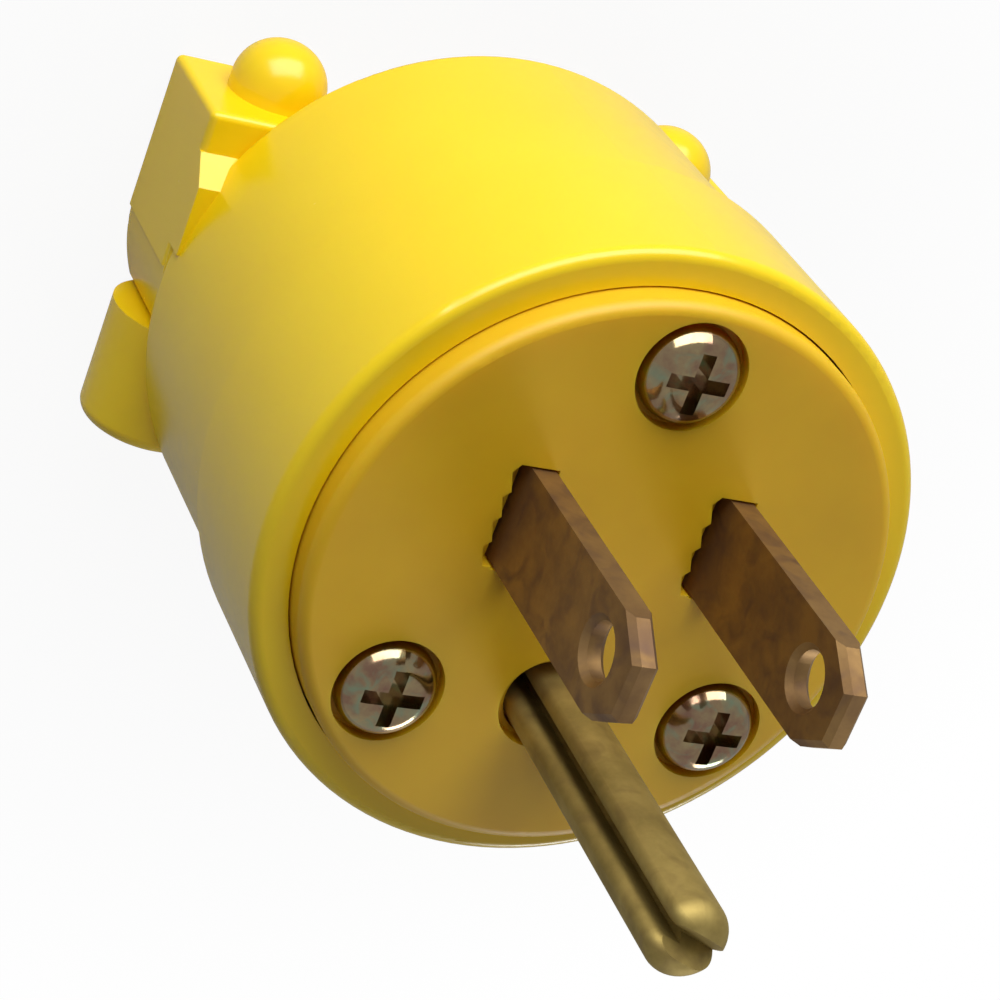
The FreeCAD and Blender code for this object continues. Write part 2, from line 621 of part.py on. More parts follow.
def make_front_disc():
    """Insulating face with slots for the blades, a hole for the pin and three screw recesses."""
    body = new_body("front_disc")
    flat = sketch(body, "disc_profile", "YZ_Plane")
    rectangle(flat, "0", "disc_thickness", "0", "disc_radius")
    turned(body, flat, "disc", "H_Axis")
    rounded(body, "disc_edge", "disc_edge_round",
            lambda edge: is_ring(edge, size("disc_radius"), BACKWARDS, 0))
    flat = across(body, "slot_profiles", "0")
    for side in SIDES:
        rectangle(flat, f"{side}blade_spacing / 2 - blade_thickness / 2 - blade_slot_gap",
                  f"{side}blade_spacing / 2 + blade_thickness / 2 + blade_slot_gap",
                  "blade_rise - blade_width / 2 - blade_slot_gap",
                  "blade_rise + blade_width / 2 + blade_slot_gap")
    feature("Pocket", body, flat, "blade_slots", "disc_thickness + 1")

    # Ragged relief along the same side of each slot
    flat = across(body, "relief_profiles", "0")
    low = "blade_rise - blade_width / 2"
    for side in SIDES:
        corners = []
        inner = f"{side}blade_spacing / 2 - blade_thickness / 2"
        edge = f"{inner} - blade_slot_gap - slot_relief_width"
        for tooth in range(SLOT_TEETH):
            start = f"{low} + blade_width * {tooth} / {SLOT_TEETH}"
            crest = f"{low} + blade_width * ({tooth} + 0.75) / {SLOT_TEETH}"
            corners.append((edge, start))
            corners.append((f"{edge} - slot_relief_tooth", crest))
        corners.append((edge, "blade_rise + blade_width / 2 + blade_slot_gap"))
        corners.append((inner, "blade_rise + blade_width / 2 + blade_slot_gap"))
        corners.append((inner, low))
        outline(flat, corners)
    feature("Pocket", body, flat, "slot_reliefs", "slot_relief_depth")

    # Hole and relief for the ground pin
    flat = across(body, "pin_hole_circle", "0")
    circle(flat, "0", f"-{GROUND_LOW}", "ground_radius + blade_slot_gap")
    feature("Pocket", body, flat, "pin_hole", "disc_thickness + 1")
    flat = across(body, "pin_relief_circle", "0")
    circle(flat, "-ground_relief_shift", f"-{GROUND_LOW} + ground_relief_shift", "ground_relief_radius")
    feature("Pocket", body, flat, "pin_relief", "ground_relief_depth")

    # Screw recesses and holes
    flat = across(body, "recess_circles", "0")
    screw_circles(flat, "face_recess_radius")
    feature("Pocket", body, flat, "recesses", "face_recess_depth")
    flat = across(body, "screw_hole_circles", "0")
    screw_circles(flat, "screw_hole_radius")
    feature("Pocket", body, flat, "screw_holes", "disc_thickness + 1")
    return body


def make_blade(name, side):
    """A flat blade with its shoulder and terminal tail. Side is the sign of its X."""
    body = new_body(name)
    start = BLADE_IN if side == "" else f"-{BLADE_OUT}"
    flat = sketch(body, "blade_outline", "YZ_Plane", ("0", "blade_rise", start))
    half = "blade_width / 2"
    wide = "shoulder_width / 2"
    outline(flat, [
        ("-blade_length", f"-({half} - blade_tip_cut)"),
        ("-(blade_length - blade_tip_slope)", f"-{half}"),
        ("disc_thickness", f"-{half}"),
        ("disc_thickness", f"-{wide}"),
        (SHOULDER_BACK, f"-{wide}"),
        (SHOULDER_BACK, f"-{half}"),
        ("tail_end", f"-{half}"),
        ("tail_end", half),
        (SHOULDER_BACK, half),
        (SHOULDER_BACK, wide),
        ("disc_thickness", wide),
        ("disc_thickness", half),
        ("-(blade_length - blade_tip_slope)", half),
        ("-blade_length", f"{half} - blade_tip_cut"),
    ])
    circle(flat, "-blade_hole_reach", "0", "blade_hole_radius")
    circle(flat, "terminal_back", "0", "terminal_screw_radius + thread_gap")
    feature("Pad", body, flat, "blade", "blade_thickness")
    slope = -(size("blade_length") - size("blade_tip_slope"))
    reach = size("blade_hole_reach")
    rounded(body, "tip_bevel", "blade_tip_bevel",
            lambda edge: not is_along(edge, SIDEWAYS)
            and (all(point.y < slope + 0.01 for point in ends(edge))
                 or (isinstance(edge.Curve, Part.Circle) and near(edge.Curve.Center.y, -reach))),
            "Chamfer")
    return body


def make_ground_pin():
    """Round pin folded from sheet: a rolled-in groove along it and a notch between two lobes."""
    body = new_body("ground_pin")
    flat = sketch(body, "pin_profile", "YZ_Plane", ("0", f"-{GROUND_LOW}", "0"))
    outline(flat, [
        ("-ground_length", "0"),
        ("-ground_length", "ground_radius"),
        ("disc_thickness", "ground_radius"),
        ("disc_thickness", "flange_radius"),
        (FLANGE_BACK, "flange_radius"),
        (FLANGE_BACK, "tenon_radius"),
        (STRAP_BACK, "tenon_radius"),
        (STRAP_BACK, "tenon_head_radius"),
        (f"{STRAP_BACK} + tenon_head_height", "tenon_head_radius"),
        (f"{STRAP_BACK} + tenon_head_height", "0"),
    ])
    turned(body, flat, "pin", "H_Axis")
    drop = size("ground_drop") - size("blade_rise")
    rounded(body, "tip_round", "ground_tip_round",
            lambda edge: is_ring(edge, size("ground_radius"), BACKWARDS, -size("ground_length")))

    # Groove, turned towards the line blade's side
    flat = sketch(body, "groove_profile", "XZ_Plane", ("0", f"-{GROUND_LOW}", "ground_length + 1"),
                  Vector(0, 0, 1), "ground_groove_turn * 1 deg")
    rectangle(flat, "-ground_groove_width / 2", "ground_groove_width / 2",
              "ground_radius - ground_groove_depth", "ground_radius + 1")
    feature("Pocket", body, flat, "groove", "ground_length + 1 + disc_thickness")
    turn = math.radians(size("ground_groove_turn"))
    outward = Vector(-math.sin(turn), 0, math.cos(turn))
    rim = math.sqrt(size("ground_radius") ** 2 - size("ground_groove_width") ** 2 / 4)
    rounded(body, "groove_lips", "ground_lip_round",
            lambda edge: is_along(edge, BACKWARDS) and edge.CenterOfMass.y < 0
            and near((edge.CenterOfMass - Vector(0, 0, -drop)).dot(outward), rim, 0.05))

    # Notch between the two lobes of the tip
    flat = sketch(body, "notch_profile", "XY_Plane", ("0", "0", f"-{GROUND_LOW}"),
                  Vector(0, 1, 0), "-ground_groove_turn * 1 deg")
    outline(flat, [
        ("-ground_notch_width / 2 - 0.3", "-ground_length - 0.5"),
        ("ground_notch_width / 2 + 0.3", "-ground_length - 0.5"),
        ("0", "-ground_length + ground_notch_depth"),
    ])
    notch = feature("Pocket", body, flat, "notch", "4 * ground_radius")
    notch.SideType = "Symmetric"
    return body


def make_ground_strap():
    """Bent strap staked to the pin's tenon, which carries the ground terminal."""
    body = new_body("ground_strap")
    flat = sketch(body, "strap_profile", "YZ_Plane", ("0", "0", "-strap_half_width"))
    end = "(ground_terminal_back + strap_half_width)"
    outline(flat, [
        ("carrier_back", "-strap_low"),
        (STRAP_BACK, "-strap_low"),
        (STRAP_BACK, "-strap_arm_low"),
        (end, "-strap_arm_low"),
        (end, "-strap_arm_low + strap_thickness"),
        ("carrier_back", "-strap_arm_low + strap_thickness"),
    ])
    feature("Pad", body, flat, "strap", "2 * strap_half_width")
    bend = Vector(0, size("carrier_back"), size("strap_thickness") - size("strap_arm_low"))
    rounded(body, "bend", "strap_bend_round",
            lambda edge: is_along(edge, SIDEWAYS)
            and near(edge.CenterOfMass.y, bend.y) and near(edge.CenterOfMass.z, bend.z))
    flat = across(body, "tenon_hole_circle", "carrier_back")
    circle(flat, "0", f"-{GROUND_LOW}", "tenon_radius + thread_gap")
    feature("Pocket", body, flat, "tenon_hole", "strap_thickness")
    flat = sketch(body, "terminal_hole_circle", "XY_Plane", ("0", "0", "0"))
    circle(flat, "0", "ground_terminal_back", "terminal_screw_radius + thread_gap")
    feature("Pocket", body, flat, "terminal_hole", "strap_low")
    return body


# Pieces behind the disc

def make_terminal_carrier():
    """Insulating block that traps the prongs' shoulders, with a wall between the terminals."""
    body = new_body("terminal_carrier")
    flat = across(body, "plate_circle", "disc_thickness")
    circle(flat, "0", "0", f"{CAVITY_RADIUS} - carrier_gap")
    feature("Pad", body, flat, "plate", "carrier_thickness", True)
    flat = across(body, "barrier_profile", f"carrier_back - 1")
    rectangle(flat, "-barrier_thickness / 2", "barrier_thickness / 2", "-barrier_low", "barrier_high")
    feature("Pad", body, flat, "barrier", f"barrier_end - carrier_back + 1", True)

    # Slots and shoulder seats for the blades
    flat = across(body, "slot_profiles", "disc_thickness")
    for side in SIDES:
        rectangle(flat, f"{side}blade_spacing / 2 - blade_thickness / 2 - carrier_slot_gap",
                  f"{side}blade_spacing / 2 + blade_thickness / 2 + carrier_slot_gap",
                  "blade_rise - blade_width / 2 - carrier_slot_gap",
                  "blade_rise + blade_width / 2 + carrier_slot_gap")
    feature("Pocket", body, flat, "tail_slots", "carrier_thickness + 1")
    flat = across(body, "seat_profiles", "disc_thickness")
    for side in SIDES:
        rectangle(flat, f"{side}blade_spacing / 2 - blade_thickness / 2 - carrier_slot_gap",
                  f"{side}blade_spacing / 2 + blade_thickness / 2 + carrier_slot_gap",
                  "blade_rise - shoulder_width / 2 - carrier_slot_gap",
                  "blade_rise + shoulder_width / 2 + carrier_slot_gap")
    feature("Pocket", body, flat, "shoulder_seats", "shoulder_depth")

    # Seat and hole for the ground pin
    flat = across(body, "flange_seat_circle", "disc_thickness")
    circle(flat, "0", f"-{GROUND_LOW}", "flange_radius + carrier_slot_gap")
    feature("Pocket", body, flat, "flange_seat", "flange_depth")
    flat = across(body, "tenon_hole_circle", "disc_thickness")
    circle(flat, "0", f"-{GROUND_LOW}", "tenon_radius + carrier_slot_gap")
    feature("Pocket", body, flat, "tenon_hole", "carrier_thickness + 1")

    # Screw holes
    flat = across(body, "screw_hole_circles", "disc_thickness")
    screw_circles(flat, "screw_hole_radius")
    feature("Pocket", body, flat, "screw_holes", "carrier_thickness + 1")
    return body


def make_face_screws():
    """Three cross-recess screws that hold disc and carrier to the shell."""
    body = new_body("face_screws")
    for number, (side, up) in enumerate(SCREW_PLACES, start=1):
        flat = sketch(body, f"screw_profile_{number}", "YZ_Plane", ("0", up, side))
        outline(flat, [
            ("face_recess_depth - face_head_height", "0"),
            ("face_recess_depth - face_head_height", "face_head_radius"),
            ("face_recess_depth", "face_head_radius"),
            ("face_recess_depth", "face_screw_radius"),
            ("face_screw_end", "face_screw_radius"),
            ("face_screw_end", "0"),
        ])
        turned(body, flat, f"screw_{number}", "H_Axis")
    front = size("face_recess_depth") - size("face_head_height")
    rounded(body, "head_edges", "face_head_round",
            lambda edge: is_ring(edge, size("face_head_radius"), BACKWARDS, front))
    flat = across(body, "cross_outlines", "face_recess_depth - face_head_height")
    for side, up in SCREW_PLACES:
        cross(flat, side, up)
    feature("Pocket", body, flat, "cross_recesses", "cross_depth")
    return body


def make_rings(name, start, length, outer):
    """Three rings round the face screws."""
    body = new_body(name)
    flat = across(body, "ring_circles", start)
    screw_circles(flat, outer)
    screw_circles(flat, "face_screw_radius + thread_gap")
    feature("Pad", body, flat, "rings", length, True)
    return body


def make_cord_seal():
    """Rubber ring in front of the cord hole."""
    body = new_body("cord_seal")
    flat = across(body, "seal_circles", f"{CAVITY_END} - seal_thickness")
    circle(flat, "0", "0", "seal_radius")
    circle(flat, "0", "0", "cord_radius + seal_bore_gap")
    feature("Pad", body, flat, "seal", "seal_thickness", True)
    return body


# Terminals

def make_blade_terminal_screw(name, side):
    """A slotted screw into a blade's tail. Side is the sign of its X."""
    body = new_body(name)
    seat = f"({BLADE_OUT} + plate_thickness)"
    flat = sketch(body, "screw_profile", "XY_Plane", ("0", "terminal_back", "blade_rise"))
    outline(flat, [
        (f"{side}({BLADE_IN} - terminal_screw_tip)", "0"),
        (f"{side}({BLADE_IN} - terminal_screw_tip)", "terminal_screw_radius"),
        (f"{side}{seat}", "terminal_screw_radius"),
        (f"{side}{seat}", "terminal_head_radius"),
        (f"{side}({seat} + terminal_head_height)", "terminal_head_radius"),
        (f"{side}({seat} + terminal_head_height)", "0"),
    ])
    turned(body, flat, "screw", "H_Axis")
    face = f"{side}({seat} + terminal_head_height)"
    flat = sketch(body, "slot_profile", "YZ_Plane", ("terminal_back", "blade_rise", face))
    rectangle(flat, "-terminal_head_radius - 1", "terminal_head_radius + 1",
              "-terminal_slot_width / 2", "terminal_slot_width / 2")
    feature("Pocket", body, flat, "slot", "terminal_slot_depth", side == "-")
    return body


def make_blade_plate(name, side):
    """A square pressure plate under a blade's terminal screw."""
    body = new_body(name)
    start = BLADE_OUT if side == "" else f"-({BLADE_OUT} + plate_thickness)"
    flat = sketch(body, "plate_outline", "YZ_Plane", ("terminal_back", "blade_rise", start))
    plate_outline(flat)
    feature("Pad", body, flat, "plate", "plate_thickness")
    return body


def plate_outline(flat):
    """The square pressure plate with its bevelled corners and its hole."""
    half = "plate_side / 2"
    inner = "(plate_side / 2 - plate_corner)"
    outline(flat, [
        (f"-{inner}", f"-{half}"), (inner, f"-{half}"), (half, f"-{inner}"), (half, inner),
        (inner, half), (f"-{inner}", half), (f"-{half}", inner), (f"-{half}", f"-{inner}"),
    ])
    circle(flat, "0", "0", "terminal_screw_radius + plate_hole_gap")


def make_ground_terminal_screw():
    """The ground terminal's screw, with its head towards the ground pin's side."""
    body = new_body("ground_terminal_screw")
    seat = "(strap_arm_low + plate_thickness)"
    flat = across(body, "screw_profile", "ground_terminal_back")
    outline(flat, [
        ("0", "-strap_arm_low + strap_thickness + terminal_screw_tip"),
        ("0", f"-({seat} + terminal_head_height)"),
        ("terminal_head_radius", f"-({seat} + terminal_head_height)"),
        ("terminal_head_radius", f"-{seat}"),
        ("terminal_screw_radius", f"-{seat}"),
        ("terminal_screw_radius", "-strap_arm_low + strap_thickness + terminal_screw_tip"),
    ])
    turned(body, flat, "screw", "V_Axis")
    flat = sketch(body, "slot_profile", "XY_Plane",
                  ("0", "ground_terminal_back", f"-({seat} + terminal_head_height)"))
    rectangle(flat, "-terminal_head_radius - 1", "terminal_head_radius + 1",
              "-terminal_slot_width / 2", "terminal_slot_width / 2")
    feature("Pocket", body, flat, "slot", "terminal_slot_depth", True)
    return body


def make_ground_plate():
    """The pressure plate under the ground terminal's screw."""
    body = new_body("ground_pressure_plate")
    flat = sketch(body, "plate_outline", "XY_Plane",
                  ("0", "ground_terminal_back", "-(strap_arm_low + plate_thickness)"))
    plate_outline(flat)
    feature("Pad", body, flat, "plate", "plate_thickness")
    return body


pieces = [
    make_rear_shell(),
    make_clamp_saddle(),
    make_clamp_screws(),
    make_clamp_nuts(),
    make_front_disc(),
    make_terminal_carrier(),
    make_blade("line_blade", "-"),
    make_blade("neutral_blade", ""),
    make_ground_pin(),
    make_ground_strap(),
    make_blade_terminal_screw("line_terminal_screw", "-"),
    make_blade_terminal_screw("neutral_terminal_screw", ""),
    make_ground_terminal_screw(),
    make_blade_plate("line_pressure_plate", "-"),
    make_blade_plate("neutral_pressure_plate", ""),
    make_ground_plate(),
    make_face_screws(),
    make_rings("thread_inserts", "boss_front", "insert_length", "insert_radius"),
    make_rings("screw_retainers", "carrier_back", "retainer_thickness", "retainer_radius"),
    make_cord_seal(),
]

# A round plug would roll, so it stands on its flat rear end
for body in pieces:
    body.Placement = Placement(Vector(0, 0, 0),
                               Rotation(UPWARDS, 180) * Rotation(SIDEWAYS, -90))
    body.setExpression(".Placement.Base.z", bound("clamp_end"))
doc.recompute()

for thing in doc.Objects:
    if "Invalid" in thing.State or "Error" in thing.State:
        raise RuntimeError(f"{thing.Name} did not compute")

os.makedirs("parts", exist_ok=True)
for body in pieces:
    shape = body.Shape
    if shape.isNull() or not shape.isValid() or not shape.Solids:
        raise RuntimeError(f"{body.Label} has no valid shape")
    shape.exportStep(f"parts/{body.Label}.step")
    print(body.Label, len(shape.Solids), round(shape.Volume, 1))
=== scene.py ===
import math

import bpy
from bpy.props import FloatProperty, FloatVectorProperty, PointerProperty
from mathutils import Matrix, Quaternion, Vector


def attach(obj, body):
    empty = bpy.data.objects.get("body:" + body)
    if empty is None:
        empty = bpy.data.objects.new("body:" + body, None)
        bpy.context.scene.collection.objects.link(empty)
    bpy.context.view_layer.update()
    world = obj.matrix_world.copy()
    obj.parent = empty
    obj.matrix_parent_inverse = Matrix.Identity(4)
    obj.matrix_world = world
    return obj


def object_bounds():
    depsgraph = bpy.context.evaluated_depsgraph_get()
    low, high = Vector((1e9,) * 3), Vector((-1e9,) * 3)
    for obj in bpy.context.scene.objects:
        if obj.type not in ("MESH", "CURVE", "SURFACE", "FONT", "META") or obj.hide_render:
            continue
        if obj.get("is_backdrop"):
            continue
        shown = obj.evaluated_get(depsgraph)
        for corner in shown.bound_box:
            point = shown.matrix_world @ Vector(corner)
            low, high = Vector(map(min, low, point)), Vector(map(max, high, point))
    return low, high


bl_info = {
    "name": "Three-pin plug",
    "version": (1, 0, 0),
    "blender": (4, 5, 0),
    "location": "3D View > Sidebar > Plug",
    "description": "Finishes, screw threads and a studio for a rewirable three-pin plug",
    "category": "Object",
}

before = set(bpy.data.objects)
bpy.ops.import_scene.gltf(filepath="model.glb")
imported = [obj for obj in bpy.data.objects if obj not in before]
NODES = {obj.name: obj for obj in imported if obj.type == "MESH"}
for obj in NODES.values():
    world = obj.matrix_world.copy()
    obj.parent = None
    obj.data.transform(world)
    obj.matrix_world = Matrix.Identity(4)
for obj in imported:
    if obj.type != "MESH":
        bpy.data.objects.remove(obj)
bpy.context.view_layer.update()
MM = 0.001

# Where the solids have their screws, in mm: the face screws stand on a circle about the barrel's
# axis, with this angle from the top one to each of the others. The clamp screws mirror each other.
FACE_SCREW_CIRCLE = 13.5
FACE_SCREW_ANGLE = math.radians(129.5)
FACE_THREAD_FOOT = 20.8
CLAMP_THREAD_FOOT = (13.9, -4.2, 4.4)

# Threads, in mm: radius and length of each kind, then the height of the ridge
FACE_THREAD = (1.75, 6.0)
CLAMP_THREAD = (1.95, 6.8)
THREAD_RIDGE = 0.03

# Grain of the brass prongs, in mm: tarnish patches and rolling lines
PRONG_PATCH = 3.5
PRONG_LINE = 0.35

# Studio, in metres: half the floor's side, its gap under the plug, and where the lamps point
FLOOR_HALF = 1.5
FLOOR_GAP = 0.02 * MM
LAMP_AIM = Vector((0.0, 0.0, 0.03))


# Colours and nodes

def linear(text):
    """An sRGB hex colour as the linear RGBA that shaders take."""
    channels = [int(text[k:k + 2], 16) / 255 for k in (1, 3, 5)]
    return [c / 12.92 if c <= 0.04045 else ((c + 0.055) / 1.055) ** 2.4 for c in channels] + [1.0]


def per_mm(feature):
    """The scale at which one lump of a texture is this many millimetres across."""
    return 1 / (feature * MM)


def add(tree, kind, settings=None, links=None):
    """Adds a node, sets its settings and sockets, and links its inputs to other nodes' outputs."""
    node = tree.nodes.new(kind)
    for name, value in (settings or {}).items():
        if isinstance(name, str) and hasattr(node, name):
            setattr(node, name, value)
        else:
            node.inputs[name].default_value = value
    for name, source in (links or {}).items():
        tree.links.new(source, node.inputs[name])
    return node


def start_material(name):
    """An empty node material with its Object coordinates."""
    material = bpy.data.materials.new(name)
    material.use_nodes = True
    tree = material.node_tree
    tree.nodes.clear()
    place = add(tree, "ShaderNodeTexCoord").outputs["Object"]
    return material, tree, place


def two_tones(tree, first, second, share):
    """A mix of two hex colours: none of the second where the share is 0, all of it at 1."""
    mix = add(tree, "ShaderNodeMix",
              {"data_type": "RGBA", 6: linear(first), 7: linear(second)}, {0: share})
    return mix.outputs[2]


def close_material(tree, shader):
    """Sends the shader to the material's output."""
    add(tree, "ShaderNodeOutputMaterial", links={"Surface": shader.outputs[0]})


def dress(names, material):
    """Gives CAD nodes their finish."""
    for name in names:
        piece = NODES[name]
        piece.data.materials.clear()
        piece.data.materials.append(material)


# Finishes

def moulded_vinyl(softness):
    """Injection-moulded vinyl, glossy and slightly soft to light: bright, with warm shade."""
    material, tree, place = start_material("moulded_vinyl")
    flow = add(tree, "ShaderNodeTexNoise", {"Scale": per_mm(11), "Detail": 3.0},
               {"Vector": place}).outputs["Fac"]
    shade = two_tones(tree, "#FFDC10", "#F9D20C", flow)
    grain = add(tree, "ShaderNodeTexNoise", {"Scale": per_mm(0.9), "Detail": 4.0},
                {"Vector": place}).outputs["Fac"]
    gloss = add(tree, "ShaderNodeMapRange", {"To Min": 0.18, "To Max": 0.3}, {"Value": grain})
    # Shallow sink marks, with the mould's fine grain over them
    sink = add(tree, "ShaderNodeBump", {"Strength": 0.3, "Distance": 0.06 * MM}, {"Height": flow})
    skin = add(tree, "ShaderNodeBump", {"Strength": 0.3, "Distance": 0.002 * MM},
               {"Height": grain, "Normal": sink.outputs["Normal"]})
    shader = add(tree, "ShaderNodeBsdfPrincipled", {
        "IOR": 1.53,
        "Subsurface Weight": softness,
        "Subsurface Radius": (1.0, 0.62, 0.12),
        "Subsurface Scale": 1.6 * MM,
    }, {"Base Color": shade, "Roughness": gloss.outputs[0], "Normal": skin.outputs["Normal"]})
    close_material(tree, shader)
    return material


def amber_nylon():
    """Translucent moulded nylon, cloudy, with fine handling marks; deeper than the shell's yellow,
    partly the nylon's own amber and partly painted shade of the disc's face.
    """
    material, tree, place = start_material("amber_nylon")
    cloud = add(tree, "ShaderNodeTexNoise", {"Scale": per_mm(7), "Detail": 3.0},
                {"Vector": place}).outputs["Fac"]
    # Tones deeper than the shell's: partly the nylon's own amber, partly painted shade of the
    # disc's face
    shade = two_tones(tree, "#F0C216", "#DCAC12", cloud)
    marks = add(tree, "ShaderNodeTexNoise", {"Scale": per_mm(1.4), "Detail": 6.0, "Roughness": 0.7},
                {"Vector": place}).outputs["Fac"]
    gloss = add(tree, "ShaderNodeMapRange", {"To Min": 0.4, "To Max": 0.58}, {"Value": marks})
    skin = add(tree, "ShaderNodeBump", {"Strength": 0.3, "Distance": 0.004 * MM},
               {"Height": marks})
    shader = add(tree, "ShaderNodeBsdfPrincipled", {
        "IOR": 1.53,
        "Subsurface Weight": 0.35,
        "Subsurface Radius": (1.0, 0.7, 0.12),
        "Subsurface Scale": 2.4 * MM,
    }, {"Base Color": shade, "Roughness": gloss.outputs[0], "Normal": skin.outputs["Normal"]})
    close_material(tree, shader)
    return material


def metal(name, clean, dull, tint, rough, patch, line):
    """A rolled or turned metal: tarnish, a tinted bloom and fine lines along the prongs' way.

    The three colours are hex values, and patch and line are widths in mm.
    """
    material, tree, place = start_material(name)
    patches = add(tree, "ShaderNodeTexNoise",
                  {"Scale": per_mm(patch), "Detail": 5.0, "Roughness": 0.6},
                  {"Vector": place}).outputs["Fac"]
    along = add(tree, "ShaderNodeMapping", {"Scale": (1.0, 1.0, 0.06)}, {"Vector": place})
    lines = add(tree, "ShaderNodeTexNoise", {"Scale": per_mm(line), "Detail": 3.0},
                {"Vector": along.outputs["Vector"]})
    spread = add(tree, "ShaderNodeMapRange", {"From Min": 0.35, "From Max": 0.65},
                 {"Value": patches})
    tarnish = two_tones(tree, clean, dull, spread.outputs[0])
    bloom_width = patch * 0.6
    bloom = add(tree, "ShaderNodeTexNoise",
                {"Scale": per_mm(bloom_width), "Detail": 2.0, "Distortion": 0.8}, {"Vector": place})
    amount = add(tree, "ShaderNodeMapRange", {"From Min": 0.5, "From Max": 0.75, "To Max": 0.8},
                 {"Value": bloom.outputs["Fac"]})
    shade = add(tree, "ShaderNodeMix", {"data_type": "RGBA", 7: linear(tint)},
                {0: amount.outputs[0], 6: tarnish})
    # Tarnished patches are duller than the clean ones between them
    gloss = add(tree, "ShaderNodeMapRange", {"To Min": rough - 0.08, "To Max": rough + 0.14},
                {"Value": patches})
    skin = add(tree, "ShaderNodeBump", {"Strength": 0.25, "Distance": 0.02 * MM},
               {"Height": lines.outputs["Fac"]})
    shader = add(tree, "ShaderNodeBsdfPrincipled", {"Metallic": 1.0}, {
        "Base Color": shade.outputs[2],
        "Roughness": gloss.outputs[0],
        "Normal": skin.outputs["Normal"]})
    close_material(tree, shader)
    return material


def plain_moulding(name, light, dark, rough, lump):
    """A filled moulding compound or rubber: dull, faintly mottled in lumps this many mm wide."""
    material, tree, place = start_material(name)
    mottle = add(tree, "ShaderNodeTexNoise", {"Scale": per_mm(lump), "Detail": 5.0},
                 {"Vector": place}).outputs["Fac"]
    shade = two_tones(tree, light, dark, mottle)
    skin = add(tree, "ShaderNodeBump", {"Strength": 0.2, "Distance": 0.05 * MM},
               {"Height": mottle})
    shader = add(tree, "ShaderNodeBsdfPrincipled", {"IOR": 1.5, "Roughness": rough},
                 {"Base Color": shade, "Normal": skin.outputs["Normal"]})
    close_material(tree, shader)
    return material


def backdrop_share(tree, gloss):
    """All of the white backdrop for the camera and through clear things, none of it as light.

    Mirror images show only the share that gloss gives, so that the yellow and the brass keep
    their depth.
    """
    rays = add(tree, "ShaderNodeLightPath").outputs
    mirrored = add(tree, "ShaderNodeMath", {"operation": "MULTIPLY", 1: gloss},
                   {0: rays["Is Glossy Ray"]})
    seen = add(tree, "ShaderNodeMath", {"operation": "MAXIMUM"},
               {0: rays["Is Camera Ray"], 1: mirrored.outputs[0]})
    share = add(tree, "ShaderNodeMath", {"operation": "MAXIMUM"},
                {0: seen.outputs[0], 1: rays["Is Transmission Ray"]})
    return share.outputs[0]


def white_paper():
    """Matt white paper that shows as plain white beyond the plug's own shadow."""
    material, tree, place = start_material("white_paper")
    fibre = add(tree, "ShaderNodeTexNoise", {"Scale": per_mm(1.2), "Detail": 3.0},
                {"Vector": place}).outputs["Fac"]
    shade = two_tones(tree, "#CCCCCC", "#C4C4C4", fibre)
    paper = add(tree, "ShaderNodeBsdfPrincipled", {"Roughness": 0.95, "Specular IOR Level": 0.1},
                {"Base Color": shade})
    white = add(tree, "ShaderNodeEmission", {"Strength": 1.0})
    # From 20 to 70 mm from the plug's middle the paper goes over to plain white
    spread = add(tree, "ShaderNodeVectorMath", {"operation": "LENGTH"}, {0: place})
    away = add(tree, "ShaderNodeMapRange",
               {"From Min": 20 * MM, "From Max": 70 * MM, "To Min": 0.93, "To Max": 1.0},
               {"Value": spread.outputs["Value"]})
    amount = add(tree, "ShaderNodeMath", {"operation": "MULTIPLY"},
                 {0: backdrop_share(tree, gloss=0.22), 1: away.outputs[0]})
    both = add(tree, "ShaderNodeMixShader",
               links={0: amount.outputs[0], 1: paper.outputs[0], 2: white.outputs[0]})
    close_material(tree, both)
    return material


# Screw threads

def thread_tree():
    """Geometry nodes for one thread: a small ridge wound round the Z axis."""
    tree = bpy.data.node_groups.new("screw_thread", "GeometryNodeTree")
    tree.interface.new_socket("Geometry", in_out="INPUT", socket_type="NodeSocketGeometry")
    for name in ("Radius", "Pitch", "Turns", "Ridge"):
        tree.interface.new_socket(name, in_out="INPUT", socket_type="NodeSocketFloat")
    tree.interface.new_socket("Finish", in_out="INPUT", socket_type="NodeSocketMaterial")
    tree.interface.new_socket("Geometry", in_out="OUTPUT", socket_type="NodeSocketGeometry")
    inputs = add(tree, "NodeGroupInput").outputs
    height = add(tree, "ShaderNodeMath", {"operation": "MULTIPLY"},
                 {0: inputs["Pitch"], 1: inputs["Turns"]})
    spiral = add(tree, "GeometryNodeCurveSpiral", {"Resolution": 20}, {
        "Rotations": inputs["Turns"],
        "Start Radius": inputs["Radius"],
        "End Radius": inputs["Radius"],
        "Height": height.outputs[0]})
    ridge = add(tree, "GeometryNodeCurvePrimitiveCircle", {"Resolution": 3},
                {"Radius": inputs["Ridge"]})
    sweep = add(tree, "GeometryNodeCurveToMesh", {"Fill Caps": True},
                {"Curve": spiral.outputs["Curve"], "Profile Curve": ridge.outputs["Curve"]})
    real = add(tree, "GeometryNodeRealizeInstances", links={"Geometry": sweep.outputs["Mesh"]})
    finish = add(tree, "GeometryNodeSetMaterial",
                 links={"Geometry": real.outputs["Geometry"], "Material": inputs["Finish"]})
    add(tree, "NodeGroupOutput", links={"Geometry": finish.outputs["Geometry"]})
    return tree


# Sizes and colours that a user would change

class PlugFinishSettings(bpy.types.PropertyGroup):
    """Finishes and the threads' pitch"""
    softness: FloatProperty(
        name="Shell softness", description="How much light passes into the yellow shell",
        default=0.12, min=0.0, max=1.0, subtype="FACTOR")
    tarnish: FloatProperty(
        name="Prong tarnish", description="Roughness of the tarnished prongs",
        default=0.54, min=0.1, max=0.9, subtype="FACTOR")
    pitch: FloatProperty(
        name="Thread pitch", description="Distance between two turns of a screw thread",
        default=0.7 * MM, min=0.3 * MM, max=2.0 * MM, unit="LENGTH")


